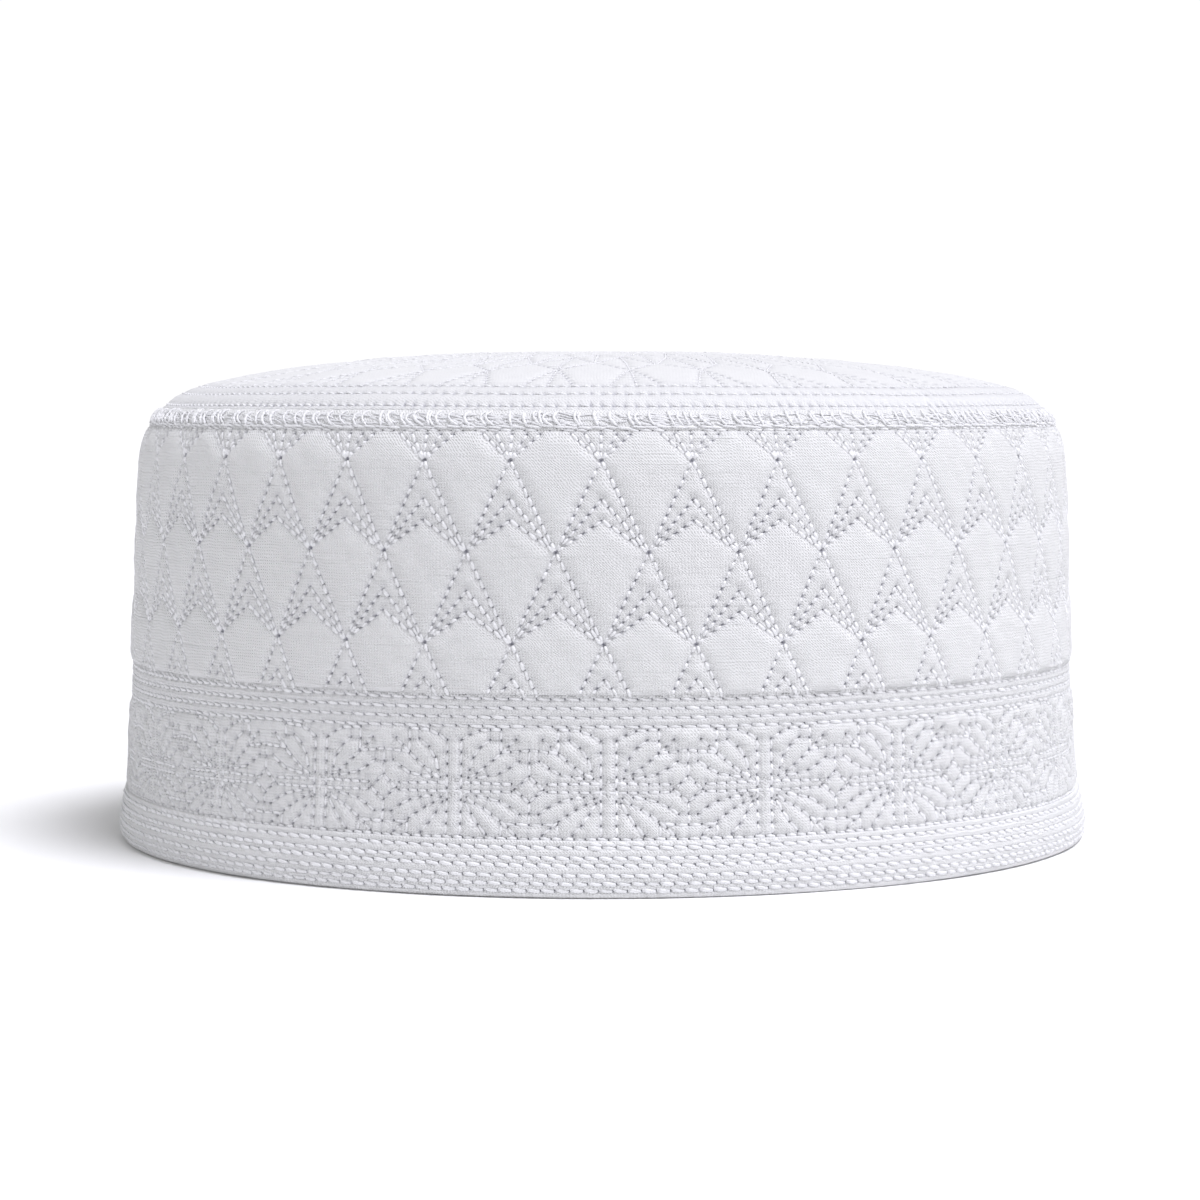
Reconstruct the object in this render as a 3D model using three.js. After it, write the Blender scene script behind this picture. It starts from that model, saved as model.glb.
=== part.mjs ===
// White embroidered prayer cap: a low round cap with a nearly upright quilted side, a shallow
// domed crown, a raised overcast seam round the shoulder and a folded hem with stitched ribs.
// Millimetres, +Z up, the origin on the resting plane under the middle of the cap. The front
// of the cap faces -Y.

import * as THREE from 'three';

// Driving dimensions
const CROWN_THICKNESS = 2.0;
const SEWN_GAP = 0.3; // clearance left between two pieces that are sewn together
const ROUND_SEGMENTS = 64;

// Side band: the outline from the hem to the shoulder, at the top of the quilting
const SIDE_OUTLINE = [
  { z: 10.7, r: 93.8 },
  { z: 20.0, r: 93.3 },
  { z: 28.8, r: 92.9 },
  { z: 46.0, r: 92.3 },
  { z: 65.5, r: 91.6 },
  { z: 74.3, r: 90.9 },
  { z: 77.3, r: 90.4 },
  { z: 80.65, r: 89.3 },
];
const PLAIN_LEVELS = [10.7, 20.0, 28.8]; // the band of flowers, under the ribs
const SIDE_LINING = [
  { z: 80.65, r: 87.1 },
  { z: 60.0, r: 89.4 },
  { z: 10.7, r: 91.5 },
];

// Four rows of stitches divide the side band into two patterns, with three ribs between them
const DIVIDER_ROWS = [29.6, 31.3, 32.9, 34.5];
const RIB_DEPTH = 0.4;

// Kites quilted round the upper side, each with its point down
const KITES_ROUND = 36;
const COLUMNS_PER_KITE = 4;
const NODE_ROW_TOP = 75.1; // the highest ring of crossings
const KITE_DROP = 15.9; // from one ring of crossings to the next
const KITE_ROWS = 3;
const QUILT_DEPTH = 0.8;
const BORDER_TOP = 79.8;
// Puff of the cloth, as a share of the quilting depth, at three levels under each ring of
// crossings: in line with a crossing, a quarter of a repeat off and half way to the next
const QUILT_LEVELS = [
  { drop: 0, atCrossing: 0, quarter: 0.9, halfWay: 1 },
  { drop: 0.5, atCrossing: 0.25, quarter: 0, halfWay: 1 },
  { drop: 0.65, atCrossing: 0, quarter: 0.3, halfWay: 0.8 },
];

// Hem: the outline of the ribs' tops, and the rows of stitches sunk between the ribs
const HEM_OUTLINE = [
  { z: 0.6, r: 95.0 },
  { z: 1.6, r: 95.2 },
  { z: 4.5, r: 95.2 },
  { z: 7.0, r: 94.8 },
  { z: 10.4, r: 94.0 },
];
const HEM_STITCH_ROWS = [1.4, 2.5, 4.0, 5.7, 6.9, 8.7];
const HEM_HEIGHT = 10.4;
const HEM_INNER_RADIUS = 91.8; // half the width of the head opening
const HEM_FOLD_RADIUS = 94.5; // outer edge of the flat fold that the cap stands on
const HEM_EASE = 0.4; // small rounding of the inner edge of the fold

// Crown: the outline of the dome, with two sunk rings of stitches near its edge
const CROWN_TOP = [
  { r: 85.3, z: 84.75 },
  { r: 84.3, z: 85.3 },
  { r: 82.8, z: 85.85 },
  { r: 81.2, z: 86.9 },
  { r: 79.5, z: 87.25 },
  { r: 77.5, z: 88.2 },
  { r: 70.9, z: 89.7 },
  { r: 60.1, z: 91.3 },
  { r: 44.3, z: 92.9 },
  { r: 25.0, z: 93.9 },
  { r: 0, z: 94.3 },
];
const CROWN_LINING_RADII = [0, 44.3, 70.9, 79.5, 85.3];

// Overcast seam: a rounded ring of close stitches that joins the crown to the side
const SEAM_SECTION = [
  { r: 86.5, z: 80.95 },
  { r: 89.1, z: 80.95 },
  { r: 88.65, z: 81.9 },
  { r: 87.8, z: 82.8 },
  { r: 86.9, z: 83.7 },
  { r: 86.1, z: 84.65 },
];

const COTTON = { color: 0xe9e9f0, roughness: 0.85, metalness: 0 };
const THREAD = { color: 0xf2f2f8, roughness: 0.55, metalness: 0 };

// Reads the radius of an outline at a height, on the straight line between two of its rows
function radiusAt(outline, z) {
  for (let i = 1; i < outline.length; i += 1) {
    const low = outline[i - 1];
    const high = outline[i];
    if (z <= high.z) {
      const share = THREE.MathUtils.clamp((z - low.z) / (high.z - low.z), 0, 1);
      return THREE.MathUtils.lerp(low.r, high.r, share);
    }
  }
  return outline[outline.length - 1].r;
}

// Spins a section round +Z; its points run outwards underneath, up the outside and back in
function spin(section) {
  const points = section.map((point) => new THREE.Vector2(point.r, point.z));
  const geometry = new THREE.LatheGeometry(points, ROUND_SEGMENTS);
  geometry.rotateX(Math.PI / 2);
  return geometry;
}

function closed(section) {
  return [...section, section[0]];
}

// A stitched rib stands between each two rows of a list, and each row itself is sunk
function ribbedFace(outline, rows, depth) {
  const face = [];
  rows.forEach((z, i) => {
    face.push({ z, r: radiusAt(outline, z) - depth });
    if (i + 1 < rows.length) {
      const middle = (z + rows[i + 1]) / 2;
      face.push({ z: middle, r: radiusAt(outline, middle) });
    }
  });
  return face;
}

// The quilted levels, from the lowest up; shift turns every second ring by half a kite
function quiltLevels() {
  const levels = [];
  for (let row = 0; row < KITE_ROWS; row += 1) {
    for (const level of QUILT_LEVELS) {
      const z = NODE_ROW_TOP - (row + level.drop) * KITE_DROP;
      const puffs = [level.atCrossing, level.quarter, level.halfWay, level.quarter];
      if (z > DIVIDER_ROWS[DIVIDER_ROWS.length - 1] + 1) {
        levels.push({ z, puffs, shift: row * 2 });
      }
    }
  }
  levels.reverse();
  levels.push({ z: BORDER_TOP, puffs: [0.25, 0.1, 0, 0.1], shift: 0 });
  return levels;
}

// Rings of the side band in order round its section, each with its radius at every column
function sideRings() {
  const even = [1, 1, 1, 1];
  const outer = [
    ...PLAIN_LEVELS.map((z) => ({ z, r: radiusAt(SIDE_OUTLINE, z), puffs: even, shift: 0 })),
    ...ribbedFace(SIDE_OUTLINE, DIVIDER_ROWS, RIB_DEPTH).map((ring) => (
      { ...ring, puffs: even, shift: 0 })),
    ...quiltLevels().map((level) => ({ ...level, r: radiusAt(SIDE_OUTLINE, level.z) })),
  ];
  const top = SIDE_OUTLINE[SIDE_OUTLINE.length - 1];
  outer.push({ ...top, puffs: even, shift: 0 });
  const inner = SIDE_LINING.map((ring) => ({ ...ring, puffs: even, shift: 0 }));
  return [...outer, ...inner];
}

// Joins the rings into one closed wall. The diagonals follow the slanting lines of stitches.
function sideBandGeometry() {
  const rings = sideRings();
  const columns = KITES_ROUND * COLUMNS_PER_KITE;
  const positions = [];
  for (const ring of rings) {
    for (let column = 0; column < columns; column += 1) {
      const angle = (2 * Math.PI * column) / columns;
      const puff = ring.puffs[(column + ring.shift) % COLUMNS_PER_KITE];
      const radius = ring.r - (1 - puff) * QUILT_DEPTH;
      positions.push(radius * Math.sin(angle), -radius * Math.cos(angle), ring.z);
    }
  }
  const index = [];
  rings.forEach((ring, row) => {
    const above = ((row + 1) % rings.length) * columns;
    const here = row * columns;
    const shift = rings[(row + 1) % rings.length].shift;
    for (let column = 0; column < columns; column += 1) {
      const next = (column + 1) % columns;
      const falls = (column + shift) % COLUMNS_PER_KITE < COLUMNS_PER_KITE / 2;
      if (falls) {
        index.push(here + column, here + next, above + column);
        index.push(here + next, above + next, above + column);
      } else {
        index.push(here + column, here + next, above + next);
        index.push(here + column, above + next, above + column);
      }
    }
  });
  const geometry = new THREE.BufferGeometry();
  geometry.setAttribute('position', new THREE.Float32BufferAttribute(positions, 3));
  geometry.setIndex(index);
  geometry.computeVertexNormals();
  return geometry;
}

function hemSection() {
  const ribs = ribbedFace(HEM_OUTLINE, HEM_STITCH_ROWS, RIB_DEPTH);
  const topRib = (HEM_STITCH_ROWS[HEM_STITCH_ROWS.length - 1] + HEM_HEIGHT) / 2;
  return closed([
    { r: HEM_INNER_RADIUS + HEM_EASE, z: 0 },
    { r: HEM_FOLD_RADIUS, z: 0 },
    HEM_OUTLINE[0],
    ...ribs,
    { r: radiusAt(HEM_OUTLINE, topRib), z: topRib },
    { r: radiusAt(HEM_OUTLINE, HEM_HEIGHT) - RIB_DEPTH, z: HEM_HEIGHT },
    { r: HEM_INNER_RADIUS, z: HEM_HEIGHT },
    { r: HEM_INNER_RADIUS, z: HEM_EASE },
  ]);
}

// The lining of the crown lies one thickness under the dome
function crownSection() {
  const rising = [...CROWN_TOP].reverse();
  const lining = CROWN_LINING_RADII.map((r) => {
    const outside = rising.findIndex((row) => row.r >= r);
    return { r, z: rising[outside].z - CROWN_THICKNESS };
  });
  return [...lining, ...CROWN_TOP];
}

function seamSection() {
  const crownEdge = CROWN_TOP[0];
  const inner = crownEdge.r + SEWN_GAP;
  return closed([
    ...SEAM_SECTION,
    { r: inner, z: crownEdge.z - SEWN_GAP },
    { r: inner, z: crownEdge.z - CROWN_THICKNESS - SEWN_GAP },
  ]);
}

function piece(name, geometry, finish) {
  const mesh = new THREE.Mesh(geometry, new THREE.MeshStandardMaterial(finish));
  mesh.name = name;
  return mesh;
}

const cap = new THREE.Group();
cap.add(piece('crown', spin(crownSection()), COTTON));
cap.add(piece('overcast_seam', spin(seamSection()), THREAD));
cap.add(piece('side_band', sideBandGeometry(), COTTON));
cap.add(piece('hem_band', spin(hemSection()), COTTON));

export default cap;
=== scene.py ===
"""A white embroidered prayer cap, dressed over its measured frame.

The cap is a quilted side with rings of kites and a band of flowers, a ribbed hem, a domed
crown and an overcast seam round the shoulder. Every stitch is a piece of thread of its own.
"""
import math

import bmesh
import bpy
import numpy as np
from bpy.props import FloatProperty, FloatVectorProperty, IntProperty, PointerProperty
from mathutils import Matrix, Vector
from mathutils.geometry import delaunay_2d_cdt


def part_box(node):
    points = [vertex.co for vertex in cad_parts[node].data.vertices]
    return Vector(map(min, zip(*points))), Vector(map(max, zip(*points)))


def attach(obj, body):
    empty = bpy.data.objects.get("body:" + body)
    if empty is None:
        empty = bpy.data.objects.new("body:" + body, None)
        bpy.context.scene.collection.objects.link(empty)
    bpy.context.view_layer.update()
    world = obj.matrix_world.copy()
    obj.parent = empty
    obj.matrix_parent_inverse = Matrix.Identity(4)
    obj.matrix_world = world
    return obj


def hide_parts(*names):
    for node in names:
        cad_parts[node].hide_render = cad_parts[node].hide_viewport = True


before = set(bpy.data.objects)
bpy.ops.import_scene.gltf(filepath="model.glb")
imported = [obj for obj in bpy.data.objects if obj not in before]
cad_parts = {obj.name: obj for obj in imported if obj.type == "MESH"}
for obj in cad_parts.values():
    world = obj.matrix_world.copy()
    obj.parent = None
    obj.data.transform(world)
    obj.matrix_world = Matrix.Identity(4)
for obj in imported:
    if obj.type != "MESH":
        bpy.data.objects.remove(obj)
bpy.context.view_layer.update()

bl_info = {
    "name": "Embroidered prayer cap",
    "version": (1, 0, 0),
    "blender": (4, 5, 0),
    "location": "View3D > Sidebar > Prayer cap",
    "description": "Quilted cotton, stitching and stage for a white embroidered prayer cap",
    "category": "Object",
}

# Sizes are in millimetres up to the point where a mesh is made, which is in metres.
MM = 0.001
FULL_TURN = 2 * math.pi


def high_corner(node):
    """The highest corner of a node of the frame, in millimetres."""
    return np.array(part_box(node)[1]) / MM


HEM_TOP = high_corner("hem_band")[2]
SIDE_TOP = high_corner("side_band")[2]
CROWN_EDGE_RADIUS = high_corner("crown")[0]

# Outline of the wall at the top of the quilting, from the floor to the shoulder
WALL_OUTLINE = [  # height, radius
    (0.0, 95.3),
    (1.6, 95.8),
    (4.5, 95.8),
    (7.0, 95.3),
    (10.0, 94.6),
    (15.8, 94.0),
    (26.5, 93.4),
    (46.0, 92.7),
    (65.5, 92.2),
    (74.3, 91.4),
    (77.3, 90.8),
    (79.2, 90.2),
    (81.2, 89.4),
]
# Outline of the crown, from its middle to its edge
CROWN_OUTLINE = [  # radius, height
    (0.0, 94.9),
    (25.0, 94.5),
    (44.3, 93.4),
    (60.1, 91.8),
    (70.9, 90.1),
    (77.5, 88.6),
    (79.5, 88.1),
    (82.8, 86.8),
    (85.0, 85.5),
    (86.2, 84.5),
    (87.5, 82.9),
]
OUTLINE_STEP = 0.1
OUTLINE_EASE = 2.0  # length over which the outline's bends are rounded

WALL_RADIUS = 92.0  # where the repeats of the wall's patterns are measured
SIDE_LINING = [(9.0, 91.5), (60.0, 89.4), (81.0, 87.0)]  # height, radius
CROWN_THICKNESS = 2.0

# The hand-made unevenness of the whole cap
SWELLS = [  # height, waves round the cap, turn for each millimetre up, start
    (0.20, 3, 0.06, 3.9),
    (0.10, 7, -0.11, 2.1),
    (0.07, 13, 0.19, 4.0),
    (0.05, 29, -0.33, 5.3),
]
CREASE_HEIGHT = 0.035
CROWN_SWELL = 0.6  # the crown is smoother than the wall, as a share
CROWN_CALM = 30.0  # inside this radius, where all the turns meet, it fades out

# Kites: rings of crossings, with every second ring turned by half a kite
KITES_ROUND = 36
KITE_ROWS = 3
KITE_TURN = math.radians(-0.1)
TOP_CROSSINGS = 75.3
KITE_DROP = 15.85
KITE_FOOT_GAP = 0.3  # the kites' stitches stop this far above the first dividing row
KITE_GATHER = math.radians(2.3)  # how far the kites at the sides draw to the front
KITE_LEAN = 0.014  # the lattice leans a little, its foot to the right
INNER_CHEVRON = 0.426  # how far below a crossing its first chevron peaks, as a share
OUTER_CHEVRON = 0.654
LAST_CHEVRON = 0.38  # in the lowest row, which the dividing rows cut off
MIDDLE_LINE_STOP = 0.7  # how far above its crossing a middle line stops, in stitches
TOP_ARMS = (5.3, 2.9)  # how far the lines that rise from the highest crossings spread
TOP_ARMS_RISE = 4.6
BORDER_ROW = 80.6  # the row of stitches under the overcast seam
BORDER_STITCHES = 7  # in each kite's width
BORDER_SHOWN = 0.6  # share of that row's threads that don't lie hidden in the cloth
CLOTH_TOP = 81.0  # the side's cloth is tucked under the overcast seam

# Rows that divide the kites from the flowers
DIVIDER_ROWS = [34.2, 32.65, 31.05, 29.5]
PATTERN_JOINT = 34.9  # where the two patterns' cloth meets, just above the first row
HEM_JOINT = 9.9  # where the flowers' cloth meets the hem
DIVIDER_STITCHES = 11  # in each repeat of the flowers
DIVIDER_SHIFT = 0.37  # how far each row starts beyond the one above, in stitches

# Flowers: the right half of one, in millimetres from its middle
FLOWERS_ROUND = 21
FLOWER_TURN = math.radians(0.7)
FLOWER_GATHER = math.radians(3.3)  # how far the flowers at the sides draw to the front
FLOWER_DRIFT = math.radians(1.1)  # how much more they do so on the left, and less on the right
FLOWER_SAG = 2.4  # how far the flowers hang lower at the far left
FLOWER_STITCH = 2.0
FLOWER_HEIGHT = 18.95
FLOWER_WIDTH = FULL_TURN * WALL_RADIUS / FLOWERS_ROUND
HALF_FLOWER = FLOWER_WIDTH / 2
FLOWER_LINES = {
    "stem": [(1.33, -8.5), (1.33, 8.1)],
    "shoulder": [(1.33, 8.1), (2.9, 9.0), (4.0, 9.7), (8.7, 10.0)],
    "upper_edge": [(8.7, 10.0), (8.7, 6.0)],
    "upper_rib": [(2.6, 1.6), (4.6, 2.6), (6.5, 4.1), (8.25, 5.5), (11.4, 8.3)],
    "upper_arc": [(8.7, 6.0), (11.5, 6.2), (HALF_FLOWER, 6.5)],
    "upper_steep_vein": [(6.75, 8.2), (5.4, 7.3), (4.3, 6.4), (3.4, 4.75), (2.9, 2.9)],
    "upper_flat_vein": [(12.0, 4.55), (10.5, 3.55), (9.1, 2.5), (6.55, 2.0), (4.2, 1.6)],
    "upper_diamond": [(HALF_FLOWER, 1.9), (11.2, -0.3)],
    "upper_axis": [(1.33, 0.75), (10.6, 0.6)],
    "lower_axis": [(1.33, -0.75), (10.6, -0.7)],
    "lower_diamond": [(11.2, -0.3), (HALF_FLOWER, -2.5)],
    "lower_flat_vein": [(4.2, -1.6), (6.65, -1.9), (9.1, -2.55), (10.5, -3.45), (12.1, -4.55)],
    "lower_rib": [(2.4, -1.8), (3.1, -2.45), (6.25, -4.05), (9.1, -6.1), (11.4, -8.1)],
    "lower_steep_vein": [(2.1, -2.6), (3.2, -4.35), (4.3, -6.1), (6.2, -8.1)],
    "lower_arc": [(9.1, -6.1), (11.8, -6.3), (HALF_FLOWER, -6.4)],
    "lower_edge": [(8.8, -6.2), (8.8, -8.6)],
}
FLOWER_SHARED_LINES = {  # drawn once, on the middle or between two flowers
    "upper_rung": [(-1.33, 0.75), (1.33, 0.75)],
    "lower_rung": [(-1.33, -0.75), (1.33, -0.75)],
    "upper_post": [(HALF_FLOWER, 6.5), (HALF_FLOWER, 1.9)],
    "lower_post": [(HALF_FLOWER, -2.5), (HALF_FLOWER, -6.4)],
    "ground": [(-HALF_FLOWER, -8.7), (HALF_FLOWER, -8.7)],
}

# Hem: rows of stitches, from the top down
HEM_ROWS = [8.8, 7.05, 5.8, 4.05, 2.65, 1.4]
DOUBLED_ROW = 9.5  # a row that was sewn over itself in places, close above the first
HEM_STITCHES = 240
COLUMNS_PER_STITCH = 4
HEM_FOLD = [(92.3, 0.0), (94.5, 0.0), (95.1, 0.35)]  # radius, height of the resting fold
HEM_LINING_RADIUS = 91.8
HEM_EASE = 0.4  # rounding of the fold's inner edge
HEM_STEP = 0.36  # largest step up the hem's outer face
HEM_FOOT = (0.55, 0.28)  # rings of points under the lowest row
HEM_SOFTNESS = 0.6
HEM_CALM = 1.0  # under this height the unevenness fades, so that the fold lies flat

# Crown: rings of stitches and the pattern inside them
CROWN_MIDDLE_RADIUS = 2.0
CROWN_CLOTH_RADIUS = 87.2  # the crown's cloth is tucked under the loops of the seam
CROWN_LINING_RADII = [CROWN_EDGE_RADIUS, 70.0, 45.0, 20.0, CROWN_MIDDLE_RADIUS]
CROWN_EDGE_SHADE_START = 77.0  # from here outwards the cloth gets painted shade, a little greyer
CROWN_EDGE_SHADE_FADE = 1.5
CROWN_EDGE_PAINTED_SHADE = 0.1
CROWN_REPEATS = 16
CROWN_STITCH = 2.0
CROWN_TURN = math.radians(-1.3)
CROWN_ROWS = [85.9, 82.8, 79.5, 30.0, 27.0, 7.5, 5.0]
SPOKES_PER_REPEAT = 2
SPOKE_PEAK = 44.0
SPOKE_FOOT = 66.0
SCALLOP_DIP = 58.0
FOOT_SPREAD = math.radians(3.3)
INNER_PEAK = 33.0
PETAL_BELLY = 18.0
PETAL_SPREAD = 0.6  # half the width of a petal, as a share of half the slice

# Overcast seam
SEAM_SURFACE = [
    (89.0, 80.3),
    (88.95, 81.0),
    (88.5, 82.0),
    (87.8, 82.9),
    (87.2, 83.5),
    (86.6, 83.75),
    (85.6, 83.9),
]
SEAM_BACK = [(85.4, 82.3), (87.4, 80.3)]
SEAM_STEPS = 480
SEAM_INNER_RADIUS = 85.9  # further in, the rolled edge stays where it is
SEAM_SLOPE_REACH = 0.3  # the seam's slope is measured over twice this length
LOOPS_ROUND = 236
LOOP_FOOT = 0.1  # where the loops end, as shares of the way up the seam
LOOP_HEAD = 0.77
LOOP_HALF_WIDTH = 0.25
STRANDS_PER_LOOP = 8
STRAND_HALF_WIDTH = 0.14
ROPES_ROUND = 244
ROPE_REACH = 1.45  # length of a rope, as a share of the distance from one to the next
ROPE_HALF_WIDTH = 0.2

# Points of the quilted cloth
CELL_FILL = 1.15  # spacing of the points on open cloth
TRIANGLE_ROW = 0.866  # rows of a triangular grid lie this share of its spacing apart
RIM_POINTS = 6  # round each needle hole
BESIDE_LINE = 0.5
SIDE_STEP = 0.7  # spacing of the points along the sides of a repeat
SIDE_MARGIN = 0.2  # points nearer to a side than this are put on it
SEARCH_REACH = 0.75  # no clearance asked for is larger
CLEARANCE = {  # least distance to the points laid before
    "edge": 0.1,
    "hole": 0.3,
    "rim": 0.26,
    "line": 0.3,
    "beside": 0.34,
    "side": 0.5,
    "open": 0.72,
}
TINY = 1e-6

# Needle holes and crossings, where many lines of stitches meet
RISING_SLOT = 0.11  # how far a stitch that climbs to the right draws its needle holes out
CROSSING_WIDTH = 0.42
CROSSING_DEPTH = 1.3  # in depths of a needle hole
# how dark the painted shade in a crossing is, in shares of the needle-hole shadow
CROSSING_DARKNESS = 1.2
CROSSING_REACH = 3.4  # within this distance the thread partly fills the needle holes
CROSSING_FILLING = 0.85

# Threads
THREAD_SIDES = 6
FINE_THREAD_SIDES = 5
THREAD_FLATNESS = 0.8  # height of a thread as a share of its width
THREAD_UNEVENNESS = 0.1  # in widths of the thread
THREAD_SWAY = 0.05
THREAD_RISE = 0.12
STITCH_SHAPE = np.array([0.0, 0.09, 0.5, 0.91, 1.0])  # where the rings of a stitch lie
STITCH_WIDTH = np.array([0.0, 0.82, 1.0, 0.82, 0.0])
STITCH_ARCH = np.array([-0.3, 0.1, 0.34, 0.1, -0.3])  # in widths of the thread
STITCH_PIVOT = 0.3  # the place along a stitch that doesn't sway
FALLING_COVER = 0.93  # share of its length that a stitch's thread shows
RISING_COVER = 0.7
RISING_SINK = 0.13  # such stitches pull deeper into the cloth
RISING_THINNING = 0.12
ROW_COVER = 1.02  # level rows: the threads' slanting ends lie beside each other
ROW_TWIST = 1.4
CROSSING_TRIM = 0.25

# Stage: the photograph's camera, in metres and pixels of its 1200 by 1200 frame
CAMERA_DISTANCE = 0.655
CAMERA_HEIGHT = 0.0874
FOCAL_PIXELS = 3288.6
PICTURE_PIXELS = 1200
HORIZON_PIXEL = 389
AXIS_PIXEL = 602
SENSOR_WIDTH = 36.0
FLOOR_RADIUS = 6.0
LAMPS = [  # name, strength, then in degrees: turn to the right, elevation, size
    ("softbox_upper_right", 2.7, 58.0, 68.5, 25.0),
    ("white_wall_right", 0.25, 80.0, 22.0, 80.0),
]


class Band:
    """One repeat of a pattern on a strip: x runs across it, and y is the height.

    share is how far across a point lies, from 0 to 1, across the same in millimetres, and up
    its level. move shifts points by whole repeats. snapped and on_side put points on the left
    side. edge and fill lay out points along one level and over the whole repeat.
    """

    def __init__(self, width, low, high):
        self.width = width
        self.low = low
        self.high = high

    def share(self, points):
        return points[:, 0] / self.width

    def across(self, points):
        return points[:, 0]

    def move(self, points, repeats):
        moved = np.array(points, float)
        moved[:, 0] += repeats * self.width
        return moved

    def snapped(self, points):
        return self.on_side(self.up(points))

    def on_side(self, levels):
        return np.column_stack([0 * levels, levels])

    def up(self, points):
        return points[:, 1]

    def edge(self, level, spacing):
        count = math.ceil(self.width / spacing)
        return np.column_stack([np.arange(count) * self.width / count, np.full(count, level)])

    def fill(self, spacing):
        rows = math.ceil((self.high - self.low) / (spacing * TRIANGLE_ROW))
        columns = math.ceil(self.width / spacing)
        grid = []
        for row in range(rows + 1):
            offset = 0.5 * (row % 2)
            for column in range(columns):
                x = (column + offset) * self.width / columns
                grid.append((x, self.low + row * (self.high - self.low) / rows))
        return np.array(grid)


class Wedge:
    """One repeat of a pattern on a disc: a slice between two radii, with Band's methods."""

    def __init__(self, angle, low, high):
        self.angle = angle
        self.low = low
        self.high = high

    def share(self, points):
        return np.arctan2(points[:, 1], points[:, 0]) / self.angle

    def across(self, points):
        return np.arctan2(points[:, 1], points[:, 0]) * self.up(points)

    def move(self, points, repeats):
        turn = np.asarray(repeats) * self.angle
        x = points[:, 0] * np.cos(turn) - points[:, 1] * np.sin(turn)
        y = points[:, 0] * np.sin(turn) + points[:, 1] * np.cos(turn)
        return np.column_stack([x, y])

    def snapped(self, points):
        return self.on_side(self.up(points))

    def on_side(self, levels):
        return np.column_stack([levels, 0 * levels])

    def up(self, points):
        return np.hypot(points[:, 0], points[:, 1])

    def edge(self, level, spacing):
        count = max(1, math.ceil(self.angle * level / spacing))
        turns = np.arange(count) * self.angle / count
        return np.column_stack([level * np.cos(turns), level * np.sin(turns)])

    def fill(self, spacing):
        rings = math.ceil((self.high - self.low) / (spacing * TRIANGLE_ROW))
        grid = []
        for ring in range(rings + 1):
            radius = self.low + ring * (self.high - self.low) / rings
            count = max(1, math.ceil(self.angle * radius / spacing))
            for column in range(count):
                turn = (column + 0.5 * (ring % 2)) * self.angle / count
                grid.append((radius * math.cos(turn), radius * math.sin(turn)))
        return np.array(grid)


def polar(radius, turn):
    """A point of a disc's pattern."""
    return (radius * math.cos(turn), radius * math.sin(turn))


def smooth_outline(rows):
    """Turns an outline's rows into a finely spaced curve with its bends rounded."""
    rows = np.array(rows)
    steps = int((rows[-1, 0] - rows[0, 0]) / OUTLINE_STEP)
    at = np.linspace(rows[0, 0], rows[-1, 0], steps)
    value = np.interp(at, rows[:, 0], rows[:, 1])
    reach = int(OUTLINE_EASE / OUTLINE_STEP) // 2
    for _ in range(2):
        wide = np.pad(value, reach, mode="reflect", reflect_type="odd")
        value = np.convolve(wide, np.ones(2 * reach + 1) / (2 * reach + 1), mode="valid")
    return at, value


WALL_CURVE = smooth_outline(WALL_OUTLINE)
CROWN_CURVE = smooth_outline(CROWN_OUTLINE)


def wander(turn, up):
    """The hand-made unevenness of the whole cap: slow swells of its surface and small creases."""
    swell = sum(height * np.sin(waves * turn + rise * up + start)
                for height, waves, rise, start in SWELLS)
    swell += CREASE_HEIGHT * np.sin(91 * turn + 0.9 * up + 3 * np.sin(5 * turn))
    swell += CREASE_HEIGHT * np.sin(139 * turn - 1.7 * up + 2 * np.sin(0.3 * up))
    return swell


def on_wall(points, turn, lift):
    """Places pattern points on the wall, lift millimetres out from its outline."""
    at, radius = WALL_CURVE
    height = points[:, 1]
    slope = np.interp(height, at, np.gradient(radius, at))
    length = np.hypot(1, slope)
    out = np.interp(height, at, radius) + (lift + wander(turn, height)) / length
    up = height - slope * lift / length
    place = np.column_stack([out * np.sin(turn), -out * np.cos(turn), up])
    normal = np.column_stack([np.sin(turn) / length, -np.cos(turn) / length, -slope / length])
    return place, normal


def on_crown(points, turn, lift):
    """Places pattern points on the crown, lift millimetres up from its outline."""
    at, height = CROWN_CURVE
    radius = np.hypot(points[:, 0], points[:, 1])
    slope = np.interp(radius, at, np.gradient(height, at))
    length = np.hypot(1, slope)
    fade = CROWN_SWELL * np.clip(radius / CROWN_CALM, 0, 1)
    raised = lift + fade * wander(turn, radius)
    out = radius - slope * raised / length
    up = np.interp(radius, at, height) + raised / length
    place = np.column_stack([out * np.sin(turn), -out * np.cos(turn), up])
    normal = np.column_stack([-slope * np.sin(turn), slope * np.cos(turn), np.ones(len(turn))])
    return place, normal / length[:, None]


def on_kites(points, turn, lift):
    """Places kite points on the wall; towards the sides the kites draw to the front."""
    gathered = turn - KITE_GATHER * np.sin(turn) * np.abs(np.sin(turn))
    return on_wall(points, gathered, lift)


def on_flowers(points, turn, lift):
    """Places flower points on the wall; they gather like the kites, more so on the left."""
    side = np.sin(turn)
    gathered = turn - side * (FLOWER_GATHER * np.abs(side) - FLOWER_DRIFT * side)
    # The band's two edges stay where they are
    share = np.clip((points[:, 1] - HEM_JOINT) / (PATTERN_JOINT - HEM_JOINT), 0, 1)
    hung = np.array(points, float)
    hung[:, 1] -= FLOWER_SAG * np.clip(-side, 0, 1) ** 2 * np.sin(math.pi * share)
    return on_wall(hung, gathered, lift)


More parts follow.
